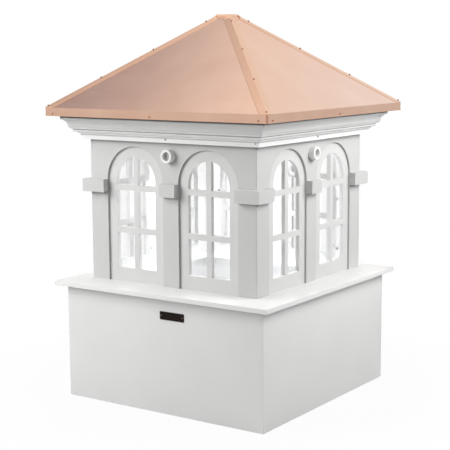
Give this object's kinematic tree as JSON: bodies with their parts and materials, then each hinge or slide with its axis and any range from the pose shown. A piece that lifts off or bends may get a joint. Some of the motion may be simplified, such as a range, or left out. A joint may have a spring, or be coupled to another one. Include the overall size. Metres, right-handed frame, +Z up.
{
  "type": "barn cupola",
  "caption": "Square cupola for a roof ridge: boarded base, glazed lantern with arched windows, moulded cornice and hipped copper roof.",
  "frame": {"origin": "centre of the base's foot, on the level it rests on", "axes": "+Z up the centre line, -Y to the front, +X to the right"},
  "size_m": [1.0134, 1.0134, 1.4979],
  "materials": {
    "white_board": "satin white cellular PVC board",
    "white_moulding": "satin white moulded PVC trim",
    "window_glass": "clear",
    "copper_sheet": "bright rolled copper sheet",
    "copper_trim": "bright folded copper",
    "roof_sheathing": "unpainted plywood",
    "roof_timber": "unpainted softwood"
  },
  "bodies": {
    "root": {"base_panel_front": "white_board", "base_panel_right": "white_board", "base_panel_back": "white_board", "base_panel_left": "white_board", "flange_board_front": "white_board", "flange_board_right": "white_board", "flange_board_back": "white_board", "flange_board_left": "white_board", "window_panel_front": "white_board", "window_panel_right": "white_board", "window_panel_back": "white_board", "window_panel_left": "white_board", "face_board_front": "white_board", "face_board_right": "white_board", "face_board_back": "white_board", "face_board_left": "white_board", "bed_board_front": "white_moulding", "bed_board_right": "white_moulding", "bed_board_back": "white_moulding", "bed_board_left": "white_moulding", "crown_moulding_front": "white_moulding", "crown_moulding_right": "white_moulding", "crown_moulding_back": "white_moulding", "crown_moulding_left": "white_moulding", "soffit_board_front": "white_board", "soffit_board_right": "white_board", "soffit_board_back": "white_board", "soffit_board_left": "white_board", "roof_deck_front": "roof_sheathing", "roof_deck_right": "roof_sheathing", "roof_deck_back": "roof_sheathing", "roof_deck_left": "roof_sheathing", "copper_panel_front": "copper_sheet", "copper_panel_right": "copper_sheet", "copper_panel_back": "copper_sheet", "copper_panel_left": "copper_sheet", "drip_edge_front": "copper_trim", "drip_edge_right": "copper_trim", "drip_edge_back": "copper_trim", "drip_edge_left": "copper_trim", "window_glass": "window_glass", "impost_blocks": "white_moulding", "rosettes": "white_moulding", "hip_caps": "copper_trim", "apex_block": "roof_timber"}
  },
  "joints": []
}
